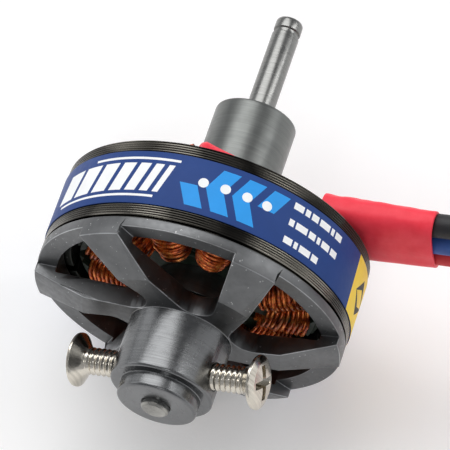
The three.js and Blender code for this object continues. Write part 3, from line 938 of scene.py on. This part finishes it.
def cross_recess(turn):
    """A cross-shaped driver recess that narrows with depth."""
    parts = []
    for arm in (0, math.pi / 2):
        rows = []
        for y, half_long, half_wide in ((HEAD_TOP - 1.0, 0.4, 0.16), (HEAD_TOP - 0.3, 1.15, 0.24),
                                        (HEAD_TOP + 0.3, 1.35, 0.3)):
            rows.append([(x * half_long, y, z * half_wide) for x, z in CORNERS])
        blade = skin(rows)
        blade.transform(Matrix.Rotation(turn + arm, 4, "Y"))
        parts.append(blade)
    return parts


def add_screw(side, angle, recess_turn):
    """A raised-countersunk propeller screw that stands out of the hub along a radius."""
    body = facing_out(skin(screw_rows()), angle)
    screw = add_object(f"screw_{side}", body, [MATERIALS["screw_nickel"]], 50)
    for blade in cross_recess(recess_turn):
        cut(screw, facing_out(blade, angle))
    screw.data.set_sharp_from_angle(angle=32 * RAD)
    return place(screw, f"prop_screw_{side}", "screw_nickel")


def add_fittings():
    """The clip in the shaft's groove, which is an open ring, and the washer behind the bell cap."""
    gap = CLIP_HALF_GAP
    outline = arc(CLIP_R, gap, TURN - gap, 32) + arc(CLIP_GROOVE[2] + 0.03, TURN - gap, gap, 24)
    add_piece("clip", "retaining_clip", prism(outline, CLIP_GROOVE[0] + 0.04, CLIP_GROOVE[1] - 0.04),
              "bearing_steel", edge=0.05)
    bore, front, rear, edge = SHAFT_R + BORE_CLEARANCE, CAP_BACK + 0.02, TUBE_FRONT - 0.03, 0.05
    washer = rounded([(bore, front, edge), (WASHER_R, front, edge), (WASHER_R, rear, edge),
                      (bore, rear, edge)])
    add_piece("spacer", "spacer_washer", turned(washer, 48), "bearing_steel")


def add_bearing(end, front):
    """A ball bearing as two races and the shield between them."""
    rear = front + BEARING_WIDTH
    bore, seat = SHAFT_R + BORE_CLEARANCE, BEARING_SEAT_R - 0.01
    rims = list(zip(SHIELD_R, SHIELD_RECESS, (0.03, 0.05, 0.03)))
    parts = {
        "inner": [(bore, front, 0.08), (BEARING_INNER_R, front, 0.06), (BEARING_INNER_R, rear, 0.06),
                  (bore, rear, 0.08)],
        "shield": [(r, front + recess, edge) for r, recess, edge in rims]
        + [(r, rear - recess, edge) for r, recess, edge in reversed(rims)],
        "outer": [(BEARING_OUTER_R, front, 0.06), (seat, front, 0.12), (seat, rear, 0.12),
                  (BEARING_OUTER_R, rear, 0.06)],
    }
    for part, corners in parts.items():
        slot = "bearing_shield" if part == "shield" else "bearing_steel"
        race = turned(rounded(corners, 3), 64)
        add_piece(f"{end}_{part}_race", f"bearing_{end}_{part}", race, slot)


# --- Stator ---


def add_mounting_tube():
    """The bearing tube that holds the motor up, with a seat for a bearing at each end."""
    seat = BEARING_WIDTH + 0.1
    profile = rounded([
        (BEARING_SEAT_R, TUBE_FRONT, 0.05), (TUBE_R, TUBE_FRONT, 0.08), (TUBE_R, 0, 0.2),
        (BEARING_SEAT_R, 0, 0.1), (BEARING_SEAT_R, -seat, 0.05), (TUBE_BORE_R, -seat, 0.08),
        (TUBE_BORE_R, TUBE_FRONT + seat, 0.08), (BEARING_SEAT_R, TUBE_FRONT + seat, 0.05),
    ])
    add_piece("tube", "mounting_tube", turned(profile, 128), "tube_aluminium")


def plate_outline(tooth_half, outer_r, half_arc):
    """A stator plate's outline: straight teeth on a round yoke, each with a curved shoe."""
    outline = []
    root = math.sqrt(YOKE_R ** 2 - tooth_half ** 2)
    for slot in range(SLOTS):
        angle = FIRST_SLOT + TURN * slot / SLOTS
        turn = Matrix.Rotation(angle, 2)
        outline += [turn @ Vector((root, -tooth_half)), turn @ Vector((SHOE_FROM, -tooth_half))]
        outline += arc(outer_r, angle - half_arc, angle + half_arc, 8)
        outline += [turn @ Vector((SHOE_FROM, tooth_half)), turn @ Vector((root, tooth_half))]
    return outline


def add_plate(name, node, slot, tooth_half, outer_r, half_arc, front, rear):
    """A toothed plate with a round bore."""
    plate = add_object(name, prism(plate_outline(tooth_half, outer_r, half_arc), front, rear),
                       [MATERIALS[slot]])
    bore = turned([(STATOR_BORE_R, front - 1), (STATOR_BORE_R, rear + 1)], 64, False)
    cut(plate, bore)
    bevel(plate, 0.06)
    return place(plate, node, slot)


def add_stator():
    """The laminated core with a dark insulator on each end."""
    front, rear = STACK
    gap = 0.01
    add_plate("core", "stator_core", "core_epoxy", TOOTH_HALF, STATOR_R, SHOE_HALF_ARC, front, rear)
    ends = {"front": (front - gap - INSULATOR_THICKNESS, front - gap),
            "rear": (rear + gap, rear + gap + INSULATOR_THICKNESS)}
    for end, faces in ends.items():
        add_plate(f"{end}_insulator", f"insulator_{end}", "insulator_epoxy", TOOTH_HALF + 0.12,
                  STATOR_R - 0.3, SHOE_HALF_ARC * 0.9, *faces)


def loop_point(half_wide, half_high, corner, share):
    """A point on a rounded rectangle, a share of the way round it."""
    sides = (2 * (half_high - corner), 2 * (half_wide - corner))
    quarter = corner * math.pi / 2
    along = share % 1 * 2 * (sum(sides) + 2 * quarter)
    for i, (x, y) in enumerate(CORNERS):
        side, start = sides[i % 2], i * math.pi / 2
        centre = Vector((x * (half_wide - corner), y * (half_high - corner)))
        if along <= side:
            return centre + polar(corner, start) - polar(side - along, start + math.pi / 2)
        along -= side
        if along <= quarter:
            return centre + polar(corner, start + along / corner)
        along -= quarter
    return Vector((half_wide, corner - half_high))


def coil_path(half_wide, reach, start, pitch, turns, seed):
    """A coil's centreline for a tooth that lies along X, with the motor's axis along Y.

    half_wide and reach give the loop's half sizes across the tooth and along the axis, each as a
    function of the place along the tooth. The loop moves outwards by the pitch with each turn.
    """
    middle = (STACK[0] + STACK[1]) / 2
    steps = 36
    path = []
    for i in range(turns * steps + 1):
        share = i / steps
        x = start + share * pitch
        wide = half_wide(x)
        across = loop_point(wide, reach(x), wide * 0.92, share)
        end_turn = min(1.0, max(0.0, abs(across.y) - STACK_HALF + 0.3))
        wander = noise.noise(Vector((share * 1.9, seed, 3.1)))
        lift = noise.noise(Vector((share * 1.3, seed, 11.7)))
        grown = 1 + 0.035 * lift * end_turn
        spread = END_TURN_SPREAD * (x - COIL_R[0]) / (COIL_R[1] - COIL_R[0])
        out = x + (spread + 0.1 * wander) * end_turn
        path.append(Vector((out, middle + across.y * grown, across.x * grown)))
    return path


def coil_wires(seed):
    """The wires of one coil: a filled layer close to the tooth, the outer turns, and one stray turn."""
    slope = (COIL_HALF[1] - COIL_HALF[0]) / (COIL_R[1] - COIL_R[0])
    first = COIL_R[0] + WIRE_R
    turns = int((COIL_R[1] - COIL_R[0] - 2 * WIRE_R) / WIRE_PITCH)

    def outer_wide(x):
        return COIL_HALF[0] + slope * (x - COIL_R[0]) - WIRE_R - 0.02

    def outer_reach(x):
        return END_TURN_REACH - END_TURN_FALL * (x - first)

    under = coil_path(lambda x: outer_wide(x) - 2.1 * WIRE_R, lambda x: outer_reach(x) - 2.3 * WIRE_R,
                      first + 0.3, WIRE_PITCH, turns - 1, seed + 50)
    over = coil_path(outer_wide, outer_reach, first, WIRE_PITCH, turns, seed)
    stray = coil_path(lambda x: outer_wide(x) - 0.05, lambda x: outer_reach(x) + 1.3 * WIRE_R,
                      first + 0.5, 2.3 * WIRE_PITCH, 1, seed + 90)
    return [under, over, stray]


def add_coils():
    """One coil of enamelled wire round each tooth."""
    for slot in range(SLOTS):
        angle = FIRST_SLOT + TURN * slot / SLOTS
        wires = joined_meshes([swept(path, WIRE_R, 7) for path in coil_wires(slot * 7.3)])
        wires.transform(Matrix.Rotation(-angle, 4, "Y"))
        add_piece(f"winding_{slot + 1:02d}", f"coil_{slot + 1:02d}", wires, "winding_copper",
                  sharp=80)


# --- Leads ---


def sleeve_section(t, inset):
    """A ring of points round the lead sleeve, a share t of the way from its mouth to its exit."""
    along = (SLEEVE_END - SLEEVE_START).normalized()
    across = along.cross(Vector((0, 1, 0)))
    centre = SLEEVE_START.lerp(SLEEVE_END, t)
    half_wide = (SLEEVE_MOUTH[0] * (1 - t) + SLEEVE_EXIT[0] * t) / 2 - inset
    half_thick = (SLEEVE_MOUTH[1] * (1 - t) + SLEEVE_EXIT[1] * t) / 2 - inset
    ring = []
    sides = 72
    for k in range(sides):
        turn = TURN * k / sides
        c, s = math.cos(turn), math.sin(turn)
        x = math.copysign(abs(c) ** 0.75, c)
        y = math.copysign(abs(s) ** 0.8, s)
        ridge = 1 - 0.025 * t * (1 - math.cos(x * math.pi * 3)) * abs(y)
        crease = 0.07 * noise.noise(Vector((t * 5, x * 1.5, y * 2 + 7)))
        crease += 0.035 * noise.noise(Vector((t * 16, x * 3, y * 2 + 17)))
        skew = (1 - t) * (SLEEVE_MOUTH_CUT[0] + SLEEVE_MOUTH_CUT[1] * x)
        skew += t * (SLEEVE_EXIT_CUT[0] + SLEEVE_EXIT_CUT[1] * x)
        thick = Vector((0, (half_thick * ridge + crease) * y, 0))
        ring.append(centre + along * skew + across * (half_wide * x + crease) + thick)
    return ring


def uneven(share, turn, depth, waves, round_waves=1):
    """A factor a little over or under 1 that wanders along a bar and round it."""
    at = Vector((share * waves, round_waves * math.cos(turn), round_waves * math.sin(turn)))
    return 1 + depth * noise.noise(at)


def add_sleeves():
    """The flat sleeve over the leads, the thin tube behind the stator, and the bare phase wires."""
    steps = 40
    outer = [sleeve_section(i / steps, 0) for i in range(steps + 1)]
    inner = [sleeve_section(1 - i / steps, SLEEVE_WALL) for i in range(steps + 1)]
    add_piece("sleeve", "lead_sleeve", skin(outer + inner, joined=True), "red_heat_shrink",
              edge=0.06)
    start, end = PHASE_TUBE_ENDS
    path = [start.lerp(end, i / 30) for i in range(31)]

    def radius(share, turn):
        lip = 1 - 0.25 * max(0.0, 1 - min(share, 1 - share) / 0.03)
        return PHASE_TUBE_R * lip * uneven(share, turn, 0.03, 9)

    add_piece("thin_sleeve", "phase_tube", swept(path, radius, 32), "red_heat_shrink")
    for letter, route in PHASE_WIRES.items():
        wire = swept(smooth_path(route, 8), PHASE_WIRE_R, 16)
        add_piece(f"phase_{letter}", f"phase_wire_{letter}", wire, "winding_copper")


def straight(origin, along, start, length, steps):
    """Evenly spaced points on a straight line."""
    return [origin + along * (start + length * i / steps) for i in range(steps + 1)]


def along_plug(route):
    """The plug's place and direction at the end of a lead's route."""
    end, before = Vector(route[-1]), Vector(route[-2])
    along = end - before
    along.z = 0
    return end, along.normalized()


def lead_radius(share, turn):
    """A lead's slightly wavy skin."""
    return LEAD_R * uneven(share, turn, 0.012, 30)


def cover_radius(share, turn):
    """Heat-shrink over the solder cup, drawn in at the lead's end and rounded at both."""
    edge = min(share, 1 - share)
    shoulder = 1 - 0.22 * max(0.0, 1 - edge / 0.05) ** 2
    waist = 1 - 0.13 * max(0.0, 1 - share / 0.3) ** 1.5
    return (COVER_R - 0.04) * shoulder * waist * uneven(share, turn, 0.03, 12, 2)


def pin_radius(share, turn):
    """A bullet pin: a collar, a neck, and a swelling with four slits up to a narrow tip."""
    if share < 0.14:
        return PIN_R * 0.98
    if share < 0.2:
        return PIN_R * 0.78
    swell = math.sin(math.pi * min(1.0, (share - 0.2) / 0.68)) ** 0.7
    tip = 1 - 0.45 * max(0.0, (share - 0.9) / 0.1) ** 2
    slit = abs((turn * 4 / TURN + 0.5) % 1 - 0.5) < 0.09 and 0.26 < share < 0.8
    return PIN_R * (0.74 + 0.24 * swell) * tip * (0.82 if slit else 1)


def add_lead(colour):
    """A lead with its cover and its bullet pin."""
    route = LEAD_ROUTES[colour]
    path = smooth_path(route, 8)
    slot = f"silicone_{colour}"
    lead = add_piece(f"{colour}_lead", f"lead_{colour}", swept(path, lead_radius, 24), slot)

    end, along = along_plug(route)
    cover_end = PLUG_GAP + COVER_LENGTH
    cover_path = straight(end, along, PLUG_GAP, COVER_LENGTH, 40)
    cover = add_piece(f"{colour}_cover", f"bullet_cover_{colour}", swept(cover_path, cover_radius, 32),
                      slot)
    pin_path = straight(end, along, cover_end + 0.02, PIN_LENGTH - 0.02, 60)
    pin = add_piece(f"{colour}_pin", f"bullet_pin_{colour}", swept(pin_path, pin_radius, 48),
                    "plug_gold")


# --- Studio ---

# The middle of the motor, in metres
LIGHT_AIM = Vector((0, -0.015, 0))


def add_light(name, at, size, power):
    """A soft rectangular light, in metres and watts, that faces the motor."""
    light = bpy.data.lights.new(name, "AREA")
    light.shape = "RECTANGLE"
    light.size, light.size_y = size
    light.energy = power
    obj = bpy.data.objects.new(name, light)
    obj.location = at
    obj.rotation_euler = (LIGHT_AIM - Vector(at)).to_track_quat("-Z", "Y").to_euler()
    bpy.context.scene.collection.objects.link(obj)


def add_floor():
    """A wide sheet of pale paper under the motor."""
    bm = bmesh.new()
    bm.faces.new([bm.verts.new((x * FLOOR_HALF, y * FLOOR_HALF, FLOOR_Z)) for x, y in CORNERS])
    finish = Finish("paper", Emission_Color=(1, 0.97, 0.945, 1), Emission_Strength=0.18)
    finish.colour(finish.colours(finish.noise(0.02, detail=2), [
        (0.3, srgb(238, 238, 238)), (0.7, srgb(244, 244, 244))]))
    finish.rough(0.5, 0.6, 0.75)
    finish.grain(3, 0.01, 4)
    floor = add_object("floor", bm, [finish.material])


def add_studio():
    """The floor, a plain sky that is brighter low down, and five soft lights."""
    bpy.context.scene.view_settings.view_transform = "Standard"
    add_floor()
    world = bpy.data.worlds.new("studio")
    bpy.context.scene.world = world
    world.use_nodes = True
    tree = world.node_tree
    background = tree.nodes["Background"]
    background.inputs["Color"].default_value = srgb(246, 248, 252)
    direction = tree.nodes.new("ShaderNodeTexCoord")
    parts = tree.nodes.new("ShaderNodeSeparateXYZ")
    fade = tree.nodes.new("ShaderNodeMapRange")
    fade.inputs["To Min"].default_value = 0.55
    fade.inputs["To Max"].default_value = 0.22
    tree.links.new(direction.outputs["Generated"], parts.inputs[0])
    tree.links.new(parts.outputs["Z"], fade.inputs["Value"])
    tree.links.new(fade.outputs["Result"], background.inputs["Strength"])

    add_light("key", (-0.2, 0.19, 0.46), (0.46, 0.52), 2.05)
    add_light("side", (0.48, 0.1, 0.2), (0.5, 0.6), 0.42)
    add_light("low", (-0.5, 0.0, 0.17), (0.3, 0.24), 0.2)
    add_light("front", (0.04, -0.3, 0.42), (0.09, 0.09), 0.2)
    add_light("strip", (0.36, 0.22, 0.34), (0.08, 0.4), 0.42)


add_camera()
for colour in LEAD_ROUTES:
    add_lead(colour)
add_sleeves()
add_bell_cap()
add_flux_ring()
add_magnets()
add_label()
add_shaft()
add_screw("right", SCREW_ANGLE, 0.75)
add_screw("left", SCREW_ANGLE + math.pi, 0.4)
add_fittings()
add_bearing("front", TUBE_FRONT + 0.02)
add_bearing("rear", -BEARING_WIDTH - 0.02)
add_mounting_tube()
add_stator()
add_coils()
add_studio()
